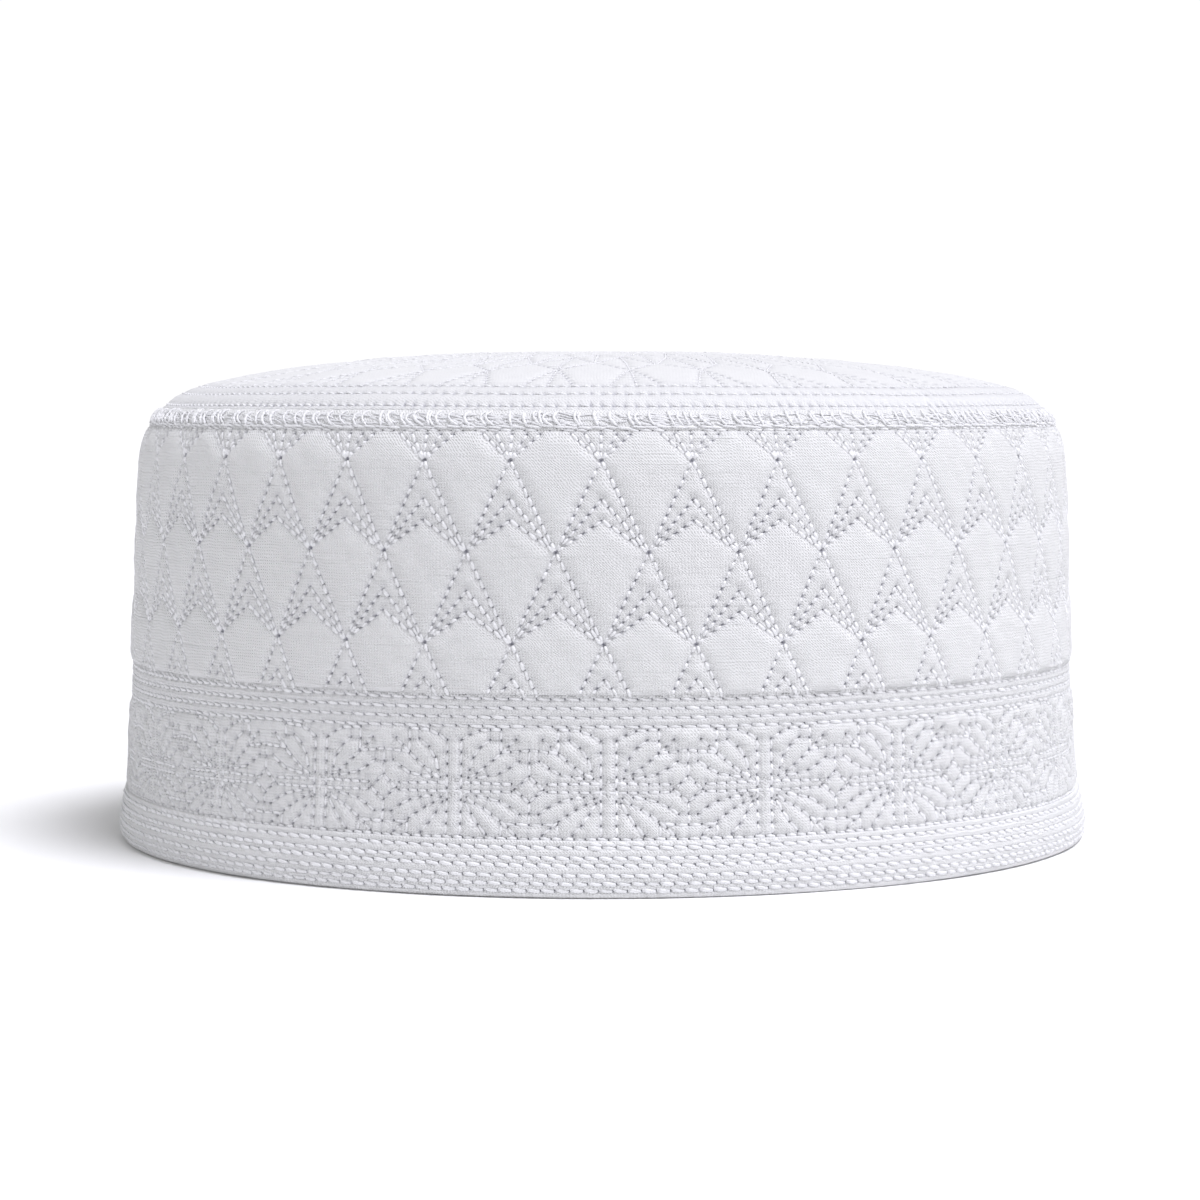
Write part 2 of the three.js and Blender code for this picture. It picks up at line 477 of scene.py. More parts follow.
def stitch_line(points, stitch_length):
    """Divides a drawn line into equal stitches; returns both ends of each."""
    points = np.array(points, float)
    steps = np.hypot(*np.diff(points, axis=0).T)
    along = np.concatenate(([0], np.cumsum(steps)))
    count = max(1, round(along[-1] / stitch_length))
    at = np.linspace(0, along[-1], count + 1)
    holes = np.column_stack([np.interp(at, along, points[:, k]) for k in (0, 1)])
    return np.hstack([holes[:-1], holes[1:]])


def cut_line(line, low, high):
    """The part of a drawn line that lies between two heights."""
    share = np.linspace(0, 1, 400)
    corners = np.linspace(0, 1, len(line))
    x, up = (np.interp(share, corners, axis) for axis in np.transpose(line))
    return np.column_stack([x, up])[(up >= low) & (up <= high)]


def moved_stitches(cell, stitches, repeats):
    return np.hstack([cell.move(stitches[:, :2], repeats), cell.move(stitches[:, 2:], repeats)])


def settled(cell, stitches):
    """Moves each stitch to the repeat that holds its middle."""
    middle = (stitches[:, :2] + stitches[:, 2:]) / 2
    return moved_stitches(cell, stitches, -np.floor(cell.share(middle) + TINY))


def with_neighbours(cell, stitches):
    """The stitches of one repeat and of the repeats beside it."""
    return np.vstack([moved_stitches(cell, stitches, side) for side in (-1, 0, 1)])


def needle_holes(stitches):
    """The ends of the stitches, each once."""
    ends = np.vstack([stitches[:, :2], stitches[:, 2:]])
    return np.unique(np.round(ends, 3), axis=0)


def rising_share(stitches):
    """How much each stitch climbs to the right, from 0 to 1; an upright one counts as half."""
    way = stitches[:, 2:] - stitches[:, :2]
    size = (way ** 2).sum(axis=1)
    upright = (way[:, 1] ** 2 / size) ** 4
    return np.clip(2.5 * way[:, 0] * way[:, 1] / size + 0.5 * upright, 0, 1)


def drawn_holes(stitches, slot):
    """The needle holes as short segments; slot is a share of the length of the stitch."""
    reach = (slot * rising_share(stitches))[:, None] * (stitches[:, 2:] - stitches[:, :2])
    return np.vstack([np.hstack([stitches[:, :2], stitches[:, :2] + reach]),
                      np.hstack([stitches[:, 2:], stitches[:, 2:] - reach])])


def to_segments(points, segments):
    """Distance from each point to the nearest of the segments."""
    start = segments[:, :2]
    way = segments[:, 2:] - start
    size = np.maximum((way ** 2).sum(axis=1), 1e-9)
    nearest = np.full(len(points), np.inf)
    block = 2000  # as many points at a time as fit well in memory
    for start_of_block in range(0, len(points), block):
        part = slice(start_of_block, start_of_block + block)
        gap = points[part, None, :] - start[None]
        share = np.clip((gap * way[None]).sum(axis=2) / size, 0, 1)
        offset = gap - share[..., None] * way[None]
        nearest[part] = np.sqrt((offset ** 2).sum(axis=2)).min(axis=1)
    return nearest


def candidate_points(cell, stitches, hole):
    """Points that a quilted cloth needs, the most needed first, with their kind of clearance."""
    holes = needle_holes(stitches)
    start, end = stitches[:, :2], stitches[:, 2:]
    way = end - start
    length = np.hypot(way[:, 0], way[:, 1])[:, None]
    side = np.column_stack([-way[:, 1], way[:, 0]]) / length
    groups = [(cell.edge(cell.low, CELL_FILL), "edge"), (cell.edge(cell.high, CELL_FILL), "edge")]
    groups.append((holes, "hole"))
    for step in range(RIM_POINTS):
        turn = FULL_TURN * (step + 0.5) / RIM_POINTS
        rim = holes + max(1.15 * hole, 0.29) * np.array([math.cos(turn), math.sin(turn)])
        groups.append((rim, "rim"))
    for share in (1 / 3, 2 / 3):
        line = start + share * way
        groups.append((line, "line"))
        groups.append((line + BESIDE_LINE * side, "beside"))
        groups.append((line - BESIDE_LINE * side, "beside"))
    groups.append((cell.on_side(np.arange(cell.low, cell.high, SIDE_STEP)), "side"))
    groups.append((cell.fill(CELL_FILL), "open"))
    return groups


def lay_points(cell, stitches, hole):
    """Chooses the points of one repeat, so that the repeats beside it match at its sides."""
    taken = {}
    chosen = []

    def square(point):
        return int(point[0] // SEARCH_REACH), int(point[1] // SEARCH_REACH)

    def clear(point, gap):
        column, row = square(point)
        for i in (-1, 0, 1):
            for j in (-1, 0, 1):
                for other in taken.get((column + i, row + j), ()):
                    if math.hypot(other[0] - point[0], other[1] - point[1]) < gap:
                        return False
        return True

    for points, kind in candidate_points(cell, stitches, hole):
        up = cell.up(points)
        points = points[(up > cell.low - TINY) & (up < cell.high + TINY)]
        points = cell.move(points, -np.floor(cell.share(points) + TINY))
        near_left = cell.across(points) < SIDE_MARGIN
        near_right = cell.across(cell.move(points, np.full(len(points), -1))) > -SIDE_MARGIN
        points = np.where((near_left | near_right)[:, None], cell.snapped(points), points)
        level = cell.up(points)
        edge_gap = np.minimum(level - cell.low, cell.high - level)
        points = points[(edge_gap > SIDE_MARGIN) | (edge_gap < TINY)]
        images = [cell.move(points, np.full(len(points), side)) for side in (-1, 0, 1)]
        for index, point in enumerate(points):
            if clear(point, CLEARANCE[kind]):
                chosen.append(point)
                for image in images:
                    taken.setdefault(square(image[index]), []).append(tuple(image[index]))
    return np.array(chosen)


def chain(order):
    """The edges that join points in a row."""
    return list(zip(order[:-1], order[1:]))


def weave_cell(cell, points):
    """Joins the points of one repeat into triangles.

    Returns the points with those of the right side added, the triangles, and for each point
    of the right side the point of the left side that the next repeat has there.
    """
    left = np.flatnonzero(np.abs(cell.across(points)) < TINY)
    left = left[np.argsort(cell.up(points[left]))]
    right_points = cell.move(points[left], np.ones(len(left)))
    both = np.vstack([points, right_points])
    right = np.arange(len(left)) + len(points)
    up = cell.up(both)
    borders = chain(left) + chain(right)
    for level in (cell.low, cell.high):
        row = np.flatnonzero(np.abs(up - level) < TINY)
        share = np.where(row >= len(points), 1.0, cell.share(both[row]))
        borders += chain(row[np.argsort(share)])
    edges = [(int(a), int(b)) for a, b in borders]
    flat = [Vector(point) for point in both]
    found, _, faces, origin, _, _ = delaunay_2d_cdt(flat, edges, [], 1, 1e-5)
    if len(found) != len(both):
        raise RuntimeError(f"{len(both)} pattern points became {len(found)}")
    source = np.array([first[0] for first in origin])
    triangles = source[np.array(faces)]
    a, b, c = (both[triangles[:, k]] for k in range(3))
    area = (b[:, 0] - a[:, 0]) * (c[:, 1] - a[:, 1]) - (b[:, 1] - a[:, 1]) * (c[:, 0] - a[:, 0])
    triangles[area < 0] = triangles[area < 0][:, ::-1]
    return both, triangles, dict(zip(right.tolist(), left.tolist()))


def crossing_pit(cell, points, crossings, width=CROSSING_WIDTH):
    """How deep in a crossing, where many lines of stitches meet, each point lies."""
    if not len(crossings):
        return np.zeros(len(points))
    around = np.vstack([cell.move(crossings, side) for side in (-1, 0, 1)])
    return np.exp(-(to_segments(points, np.hstack([around, around])) / width) ** 2)


def quilted_surface(cell, stitches, repeats, turn, place, sizes, beyond=(), crossings=()):
    """Repeats one quilted cell round the cap; returns its points, triangles and needle marks for
    painted shade.

    The stitches beyond lie on the next piece of cloth, but pull this one in too.
    """
    around = with_neighbours(cell, stitches)
    field = np.vstack([around, beyond]) if len(beyond) else around
    points, triangles, twins = weave_cell(cell, lay_points(cell, stitches, sizes.hole))
    distance = to_segments(points, field)
    hole_distance = to_segments(points, drawn_holes(around, sizes.slot))
    puff = 1 - np.exp(-distance / sizes.softness)
    pit = np.exp(-(hole_distance / sizes.hole) ** 2)
    knot = crossing_pit(cell, points, crossings)
    pit *= 1 - CROSSING_FILLING * crossing_pit(cell, points, crossings, CROSSING_REACH)
    lift = -sizes.depth * (1 - puff)
    lift -= sizes.hole_depth * np.maximum(pit, CROSSING_DEPTH * knot)
    # Painted shade: the cloth's colour darkens in the needle holes, and more in the crossings
    pit = np.maximum(pit, CROSSING_DARKNESS * knot)
    own = len(points) - len(twins)
    renumber = np.arange(len(points))
    next_repeat = np.zeros(len(points), bool)
    for right, left in twins.items():
        renumber[right] = left
        next_repeat[right] = True
    places, faces, marks = [], [], []
    for repeat in range(repeats):
        turned = cell.share(points[:own]) + repeat
        angle = turn + FULL_TURN * turned / repeats
        places.append(place(points[:own], angle, lift[:own])[0])
        base = np.where(next_repeat, (repeat + 1) % repeats, repeat) * own
        faces.append((renumber + base)[triangles])
        marks.append(pit[:own])
    return np.vstack(places), np.vstack(faces), np.concatenate(marks)


def array_mesh(name, places, triangles):
    """A mesh from arrays of points, in millimetres, and triangles."""
    mesh = bpy.data.meshes.new(name)
    mesh.vertices.add(len(places))
    mesh.vertices.foreach_set("co", (places * MM).astype(np.float32).ravel())
    mesh.loops.add(3 * len(triangles))
    mesh.loops.foreach_set("vertex_index", triangles.astype(np.int32).ravel())
    mesh.polygons.add(len(triangles))
    mesh.polygons.foreach_set("loop_start", np.arange(0, 3 * len(triangles), 3, dtype=np.int32))
    mesh.update(calc_edges=True)
    mesh.validate()
    return mesh


def add_object(mesh, material):
    """Puts a finished mesh in the scene as a piece that rides on the cap."""
    mesh.polygons.foreach_set("use_smooth", np.ones(len(mesh.polygons), bool))
    mesh.materials.append(material)
    piece = bpy.data.objects.new(mesh.name, mesh)
    bpy.context.scene.collection.objects.link(piece)
    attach(piece, "root")
    return piece


def mesh_points(mesh):
    """The places of a mesh's points, in millimetres."""
    places = np.empty(3 * len(mesh.vertices), np.float32)
    mesh.vertices.foreach_get("co", places)
    return places.reshape(-1, 3) / MM


def round_places(mesh):
    """Each point's turn round the middle of the cap, its radius and its height."""
    places = mesh_points(mesh).astype(float)
    turn = np.arctan2(places[:, 0], -places[:, 1]) % FULL_TURN
    return turn, np.hypot(places[:, 0], places[:, 1]), places[:, 2]


def set_places(mesh, turn, radius, up):
    places = np.column_stack([radius * np.sin(turn), -radius * np.cos(turn), up]) * MM
    mesh.vertices.foreach_set("co", places.astype(np.float32).ravel())
    mesh.update()


def lay_cloth(mesh, flat):
    """Gives the cloth its own UV map in millimetres: round and up the wall, or flat on a disc."""
    places = mesh_points(mesh)
    corners = np.empty(len(mesh.loops), np.int32)
    mesh.loops.foreach_get("vertex_index", corners)
    sizes = np.empty(len(mesh.polygons), np.int32)
    mesh.polygons.foreach_get("loop_total", sizes)
    if flat:
        uv = places[corners, :2]
    else:
        turn = np.arctan2(places[:, 0], -places[:, 1])[corners]
        firsts = np.concatenate(([0], np.cumsum(sizes)[:-1]))
        first = np.repeat(turn[firsts], sizes)
        turn = first + (turn - first + math.pi) % FULL_TURN - math.pi
        uv = np.column_stack([turn * WALL_RADIUS, places[corners, 2]])
    layer = mesh.uv_layers.new(name="cloth")
    layer.data.foreach_set("uv", uv.astype(np.float32).ravel())


def mark_painted_shade(mesh, marks):
    """Keeps how much painted shade each point's colour gets: needle holes, crossings, crown edge."""
    values = np.zeros(len(mesh.vertices), np.float32)
    values[:len(marks)] = marks
    layer = mesh.attributes.new("needle_hole", "FLOAT", "POINT")
    layer.data.foreach_set("value", values)


def add_cloth(mesh, marks, material, flat=False):
    """Adds a piece of cloth with its UV map and the marks for its painted shade."""
    lay_cloth(mesh, flat)
    mark_painted_shade(mesh, marks)
    return add_object(mesh, material)


def spun_mesh(name, section, steps):
    """Spins a closed section, in radii and heights, round the middle of the cap."""
    bm = bmesh.new()
    verts = [bm.verts.new((0, -radius * MM, up * MM)) for radius, up in section]
    ring = [bm.edges.new(pair) for pair in zip(verts, verts[1:] + verts[:1])]
    bmesh.ops.spin(bm, geom=verts + ring, cent=(0, 0, 0), axis=(0, 0, 1), angle=FULL_TURN,
                   steps=steps, use_merge=True)
    bmesh.ops.remove_doubles(bm, verts=bm.verts, dist=0.00001)
    bmesh.ops.recalc_face_normals(bm, faces=bm.faces)
    mesh = bpy.data.meshes.new(name)
    bm.to_mesh(mesh)
    bm.free()
    return mesh


def line_wall(mesh):
    """Closes a strip of outer cloth with its two edges and a plain lining."""
    heights, radii = np.array(SIDE_LINING).T
    bm = bmesh.new()
    bm.from_mesh(mesh)
    rim = [edge for edge in bm.edges if edge.is_boundary]
    made = bmesh.ops.extrude_edge_only(bm, edges=rim)["geom"]
    for vert in made:
        if isinstance(vert, bmesh.types.BMVert):
            inner = np.interp(vert.co.z / MM, heights, radii) * MM
            vert.co.xy *= inner / vert.co.xy.length
    bmesh.ops.bridge_loops(bm, edges=[edge for edge in bm.edges if edge.is_boundary])
    bmesh.ops.recalc_face_normals(bm, faces=bm.faces)
    bm.to_mesh(mesh)
    bm.free()


class StitchSizes:
    """The sizes of one kind of quilting, in millimetres."""

    def __init__(self, settings, depth_share=1.0, softness=None):
        self.depth = settings.quilt_depth / MM * depth_share
        self.softness = softness or settings.quilt_softness / MM
        self.hole = settings.needle_hole / MM / 2
        self.hole_depth = settings.needle_depth / MM
        self.slot = RISING_SLOT
        self.twist = settings.stitch_twist
        self.length = settings.stitch_length / MM
        self.thread = settings.thread_width / MM
        self.sides = THREAD_SIDES


def thread_template(sides, rings):
    """A closed length of thread: for each point its ring and its turn round the thread."""
    bm = bmesh.new()
    bmesh.ops.create_uvsphere(bm, u_segments=sides, v_segments=rings + 1, radius=1)
    bmesh.ops.triangulate(bm, faces=bm.faces)
    places = np.array([vert.co for vert in bm.verts])
    triangles = np.array([[vert.index for vert in face.verts] for face in bm.faces])
    bm.free()
    level = np.arccos(np.clip(-places[:, 2], -1, 1)) / math.pi * (rings + 1)
    turn = np.arctan2(places[:, 1], places[:, 0])
    return np.round(level).astype(int), turn, triangles


def add_threads(name, paths, normals, widths, heights, sides=THREAD_SIDES):
    """Sweeps a thread along each path; widths and heights are half sizes at each point."""
    count, points, _ = paths.shape
    level, turn, triangles = thread_template(sides, points - 2)
    along = np.gradient(paths, axis=1)
    along /= np.linalg.norm(along, axis=2, keepdims=True)
    side = np.cross(normals, along)
    side /= np.linalg.norm(side, axis=2, keepdims=True)
    out = np.cross(along, side)
    places = paths[:, level]
    places = places + side[:, level] * (widths[:, level] * np.cos(turn))[..., None]
    places = places + out[:, level] * (heights[:, level] * np.sin(turn))[..., None]
    numbers = np.arange(count)[:, None, None] * len(level) + triangles[None]
    mesh = array_mesh(name, places.reshape(-1, 3), numbers.reshape(-1, 3))
    length = np.linalg.norm(np.diff(paths, axis=1), axis=2).cumsum(axis=1)
    length = np.hstack([np.zeros((count, 1)), length])
    share = turn[triangles] / FULL_TURN
    share = share[:, :1] + (share - share[:, :1] + 0.5) % 1.0 - 0.5
    uv = np.empty((count, len(triangles), 3, 2), np.float32)
    uv[..., 0] = length[:, level][:, triangles]
    uv[..., 1] = share[None]
    layer = mesh.uv_layers.new(name="thread")
    layer.data.foreach_set("uv", uv.ravel())
    add_object(mesh, thread_material())


def sew(name, cell, stitches, repeats, turn, place, sizes, rng, width=1.0, cover=FALLING_COVER,
        level=False, crossings=(), chosen=None):
    """Lays a piece of thread on every stitch of a repeated pattern.

    The thread's twist turns every stitch a little clockwise. It makes the stitches that fall
    to the right long and full, and those that rise to the right short and sunk.
    """
    middle = (stitches[:, :2] + stitches[:, 2:]) / 2
    way = (stitches[:, 2:] - stitches[:, :2]) / 2
    backward = (way[:, 0] < -TINY) | ((np.abs(way[:, 0]) <= TINY) & (way[:, 1] > 0))
    way[backward] *= -1
    length = np.hypot(way[:, 0], way[:, 1])
    rising = rising_share(stitches)
    full = ROW_COVER if level else cover
    cover = full + (RISING_COVER - full) * rising
    twist = sizes.twist * (ROW_TWIST if level else 1)
    x = way[:, 0] * math.cos(twist) + way[:, 1] * math.sin(twist)
    y = way[:, 1] * math.cos(twist) - way[:, 0] * math.sin(twist)
    way = np.column_stack([x, y])
    trims = [CROSSING_TRIM * crossing_pit(cell, end, crossings) / length
             for end in (stitches[:, :2], stitches[:, 2:])]
    first = np.where(backward, trims[1], trims[0])
    last = np.where(backward, trims[0], trims[1])
    tail = middle - way * (cover - first)[:, None]
    head = middle + way * (cover - last)[:, None]
    count = len(stitches) * repeats
    repeat = np.repeat(np.arange(repeats), len(stitches))
    rising = np.tile(rising, repeats)
    half = sizes.thread / 2 * width
    thick = half * (1 + THREAD_UNEVENNESS * rng.standard_normal(count))
    thick *= 1 - RISING_THINNING * rising
    sway = THREAD_SWAY * rng.standard_normal((count, 2))
    rise = half * THREAD_RISE * rng.standard_normal(count) - RISING_SINK * rising
    paths, normals = [], []
    for share, arch in zip(STITCH_SHAPE, STITCH_ARCH):
        flats = np.tile(tail + share * (head - tail), (repeats, 1)) + sway * (share - STITCH_PIVOT)
        angle = turn + FULL_TURN * (cell.share(flats) + repeat) / repeats
        spot, normal = place(flats, angle, rise + arch * 2 * half - sizes.depth)
        paths.append(spot)
        normals.append(normal)
    paths = np.stack(paths, axis=1)
    normals = np.stack(normals, axis=1)
    widths = thick[:, None] * STITCH_WIDTH[None]
    if chosen is not None:
        paths, normals, widths = paths[chosen], normals[chosen], widths[chosen]
    add_threads(name, paths, normals, widths, widths * THREAD_FLATNESS, sizes.sides)


def linear(colour):
    """Linear RGBA of an sRGB hex colour."""
    channels = [int(colour[i:i + 2], 16) / 255 for i in (1, 3, 5)]
    return [c / 12.92 if c <= 0.04045 else ((c + 0.055) / 1.055) ** 2.4 for c in channels] + [1.0]


def add_node(tree, kind, inputs=None, **settings):
    """Adds a node with its settings; an input is a value or another node's output."""
    node = tree.nodes.new(kind)
    for name, value in settings.items():
        setattr(node, name, value)
    for key, value in (inputs or {}).items():
        if isinstance(value, bpy.types.NodeSocket):
            tree.links.new(value, node.inputs[key])
        else:
            node.inputs[key].default_value = value
    return node


def new_material(name):
    material = bpy.data.materials.new(name)
    material.use_nodes = True
    material.node_tree.nodes.clear()
    return material, material.node_tree


def cotton_lawn(name, colours, spacing, relief):
    """Cotton lawn: a fine, plain-woven, mercerised cotton.

    The eye gets a matt white with a faint horizontal rib, because the weft shows more than
    the warp, and a little fuzz that lightens the cloth where it turns away.
    """
    material, tree = new_material(name)
    uv = add_node(tree, "ShaderNodeUVMap", uv_map="cloth")
    split = add_node(tree, "ShaderNodeSeparateXYZ", {0: uv.outputs[0]})
    # Threads wander a little, so the rows of the weave aren't ruled lines
    drift = add_node(tree, "ShaderNodeTexNoise", {
        "Vector": uv.outputs[0], "Scale": 0.35, "Detail": 2.0})
    wave = []
    for axis in (0, 1):
        moved = add_node(tree, "ShaderNodeMath", {
            0: drift.outputs[0], 1: 0.9, 2: split.outputs[axis]}, operation="MULTIPLY_ADD")
        phase = add_node(tree, "ShaderNodeMath", {0: moved.outputs[0], 1: FULL_TURN / spacing},
                         operation="MULTIPLY")
        wave.append(add_node(tree, "ShaderNodeMath", {0: phase.outputs[0]}, operation="SINE"))
    crossing = add_node(tree, "ShaderNodeMath", {0: wave[0].outputs[0], 1: wave[1].outputs[0]},
                        operation="MULTIPLY")
    weft = add_node(tree, "ShaderNodeMath", {0: wave[1].outputs[0], 1: 0.45, 2: crossing.outputs[0]},
                    operation="MULTIPLY_ADD")
    # Slubs: single weft threads that are thicker for a stretch
    stretch = add_node(tree, "ShaderNodeMapping", {
        "Vector": uv.outputs[0], "Scale": (0.03, 2.6, 1.0)})
    slub = add_node(tree, "ShaderNodeTexNoise", {
        "Vector": stretch.outputs[0], "Scale": 1.0, "Detail": 3.0})
    rare = add_node(tree, "ShaderNodeMapRange", {
        "Value": slub.outputs[0], "From Min": 0.58, "From Max": 0.8, "To Max": 1.5})
    height = add_node(tree, "ShaderNodeMath", {0: rare.outputs[0], 1: weft.outputs[0]},
                      operation="ADD")
    bump = add_node(tree, "ShaderNodeBump", {
        "Strength": 1.0, "Distance": 0.00006 * relief, "Height": height.outputs[0]})
    mottle = add_node(tree, "ShaderNodeTexNoise", {
        "Vector": uv.outputs[0], "Scale": 0.05, "Detail": 3.0})
    tone = add_node(tree, "ShaderNodeMix", {
        "Factor": mottle.outputs[0], "A": colours.cloth[:], "B": colours.shade[:]}, data_type="RGBA")
    # Painted shade: the needle_hole marks mix the colour towards the shadow inside a needle hole
    needle = add_node(tree, "ShaderNodeAttribute", attribute_name="needle_hole")
    dark = add_node(tree, "ShaderNodeMix", {
        "Factor": needle.outputs["Fac"], "A": tone.outputs["Result"], "B": colours.hole[:]},
        data_type="RGBA")
    shader = add_node(tree, "ShaderNodeBsdfPrincipled", {
        "Base Color": dark.outputs["Result"], "Roughness": 0.82, "Specular IOR Level": 0.3,
        "Sheen Weight": 0.12, "Sheen Roughness": 0.5, "Normal": bump.outputs[0]})
    add_node(tree, "ShaderNodeOutputMaterial", {"Surface": shader.outputs[0]})
    return material


def spun_thread(name, colour, pitch):
    """Spun polyester sewing thread, two plies twisted: whiter than the cloth, with a soft gloss."""
    material, tree = new_material(name)
    uv = add_node(tree, "ShaderNodeUVMap", uv_map="thread")
    split = add_node(tree, "ShaderNodeSeparateXYZ", {0: uv.outputs[0]})
    turns = add_node(tree, "ShaderNodeMath", {0: split.outputs[0], 1: 1 / pitch, 2: split.outputs[1]},
                     operation="MULTIPLY_ADD")
    phase = add_node(tree, "ShaderNodeMath", {0: turns.outputs[0], 1: FULL_TURN}, operation="MULTIPLY")
    ply = add_node(tree, "ShaderNodeMath", {0: phase.outputs[0]}, operation="SINE")
    bump = add_node(tree, "ShaderNodeBump", {
        "Strength": 0.5, "Distance": 0.00008, "Height": ply.outputs[0]})
    shader = add_node(tree, "ShaderNodeBsdfPrincipled", {
        "Base Color": colour, "Roughness": 0.55, "Specular IOR Level": 0.3,
        "Sheen Weight": 0.1, "Sheen Roughness": 0.4, "Normal": bump.outputs[0]})
    add_node(tree, "ShaderNodeOutputMaterial", {"Surface": shader.outputs[0]})
    return material


def studio_paper(colour):
    """Matt white background paper."""
    material, tree = new_material("matt_background_paper")
    shader = add_node(tree, "ShaderNodeBsdfPrincipled", {
        "Base Color": colour, "Roughness": 0.95, "Specular IOR Level": 0.1})
    add_node(tree, "ShaderNodeOutputMaterial", {"Surface": shader.outputs[0]})
    return material


class CapSizes(bpy.types.PropertyGroup):
    """Sizes of the cap's cloth and stitching."""

    quilt_depth: FloatProperty(
        name="Quilting depth", description="How far a line of stitches pulls the cloth in",
        default=0.00075, min=0.0, unit="LENGTH")
    quilt_softness: FloatProperty(
        name="Quilting softness", description="Distance over which the cloth rises beside a line",
        default=0.0009, min=0.0001, unit="LENGTH")
    needle_hole: FloatProperty(
        name="Needle hole", description="Width of the hole at each end of a stitch",
        default=0.00044, min=0.0001, unit="LENGTH")
    needle_depth: FloatProperty(
        name="Needle hole depth", description="How far the cloth is drawn in at a needle hole",
        default=0.00034, min=0.0, unit="LENGTH")
    stitch_twist: FloatProperty(
        name="Stitch twist", description="How far the thread's twist turns each stitch",
        default=math.radians(6.5), unit="ROTATION")
    stitch_length: FloatProperty(
        name="Stitch length", description="Length of a stitch of the kites",
        default=0.00178, min=0.0005, unit="LENGTH")
    thread_width: FloatProperty(
        name="Thread width", description="Width of the sewing thread",
        default=0.00066, min=0.0001, unit="LENGTH")
    weave_spacing: FloatProperty(
        # The real threads, about 0.35 mm apart, are too fine to show
        name="Weave spacing", description="Distance between two threads of the cloth",
        default=0.00056, min=0.0001, unit="LENGTH")
    seed: IntProperty(
        name="Seed", description="Seed of the stitches' small unevenness", default=7)


class CapColours(bpy.types.PropertyGroup):
    """Colours of the cap and its stage."""

    cloth: FloatVectorProperty(
        name="Cloth", description="The cotton", subtype="COLOR", size=4, default=linear("#ececed"))
    shade: FloatVectorProperty(
        name="Cloth, second tone", description="The cotton where it is a little greyer",
        subtype="COLOR", size=4, default=linear("#e7e7e9"))
    hole: FloatVectorProperty(
        name="Needle hole", description="The shadow inside a needle hole",
        subtype="COLOR", size=4, default=linear("#9a9aa6"))
    thread: FloatVectorProperty(
        name="Thread", description="The sewing thread", subtype="COLOR", size=4,
        default=linear("#eeeef1"))
    paper: FloatVectorProperty(
        name="Background", description="The paper that the cap stands on", subtype="COLOR",
        size=4, default=linear("#f8f8f8"))


def cotton(name, relief=1.35):
    """The cap's cotton; relief says how much its threads stand out."""
    scene = bpy.context.scene
    return bpy.data.materials.get(name) or cotton_lawn(
        name, scene.cap_colours, scene.cap_sizes.weave_spacing / MM, relief)


def thread_material():
    name = "spun_polyester_thread"
    return bpy.data.materials.get(name) or spun_thread(
        name, bpy.context.scene.cap_colours.thread[:], pitch=0.9)


def kite_cell_stitches(cell, length):
    """The stitches of one kite's width, from the dividing rows up to the overcast seam."""
    half = cell.width / 2
    lines = []
    for row in range(KITE_ROWS):
        node = half * (row % 2)
        top = TOP_CROSSINGS - row * KITE_DROP
        chevron = LAST_CHEVRON if row == KITE_ROWS - 1 else INNER_CHEVRON
        for side in (-half, half):
            foot = (node + side, top - KITE_DROP)
            for drop in (0, chevron, OUTER_CHEVRON):
                line = [(node, top - drop * KITE_DROP), foot]
                # Between the other two, the middle line stops short of the crossing
                low = foot[1] + MIDDLE_LINE_STOP * length if drop == chevron else foot[1]
                lines.append(cut_line(line, max(low, DIVIDER_ROWS[0] + KITE_FOOT_GAP), SIDE_TOP))
    for spread in TOP_ARMS:
        for side in (-spread, spread):
            lines.append([(side, TOP_CROSSINGS + TOP_ARMS_RISE), (0, TOP_CROSSINGS)])
    lines.append([(0, TOP_CROSSINGS + TOP_ARMS_RISE), (0, TOP_CROSSINGS)])
    stitches = [stitch_line(line, length) for line in lines if len(line) > 1]
    for ends in stitches:
        ends[:, [0, 2]] += KITE_LEAN * (TOP_CROSSINGS - ends[:, [1, 3]])
    border = stitch_line([(0, BORDER_ROW), (cell.width, BORDER_ROW)], cell.width / BORDER_STITCHES)
    crossings = [(half * (row % 2) + KITE_LEAN * row * KITE_DROP, TOP_CROSSINGS - row * KITE_DROP)
                 for row in range(KITE_ROWS)]
    return settled(cell, np.vstack(stitches)), settled(cell, border), np.array(crossings)


class PRAYER_CAP_OT_kites(bpy.types.Operator):
    """Makes the upper side: cotton quilted in kites, with its stitches"""

    bl_idname = "prayer_cap.kites"
    bl_label = "Quilted kites"

    def execute(self, context):
        settings = context.scene.cap_sizes
        sizes = StitchSizes(settings)
        width = FULL_TURN * WALL_RADIUS / KITES_ROUND
        cell = Band(width, PATTERN_JOINT, CLOTH_TOP)
        kites, border, crossings = kite_cell_stitches(cell, sizes.length)
        both = np.vstack([kites, border])
        below = np.array([[-width, DIVIDER_ROWS[0], 2 * width, DIVIDER_ROWS[0]]])
        places, faces, marks = quilted_surface(
            cell, both, KITES_ROUND, KITE_TURN, on_kites, sizes, below, crossings)
        mesh = array_mesh("quilted_kites", places, faces)
        line_wall(mesh)
        piece = add_cloth(mesh, marks, cotton("cotton_lawn_quilted"))
        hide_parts("side_band")
        rng = np.random.default_rng(settings.seed)
        sew("kite_stitches", cell, kites, KITES_ROUND, KITE_TURN, on_kites, sizes, rng,
            crossings=crossings)
        shown = rng.random(len(border) * KITES_ROUND) < BORDER_SHOWN
        sew("border_stitches", cell, border, KITES_ROUND, KITE_TURN, on_kites, sizes, rng,
            width=0.7, chosen=shown)
        return {"FINISHED"}


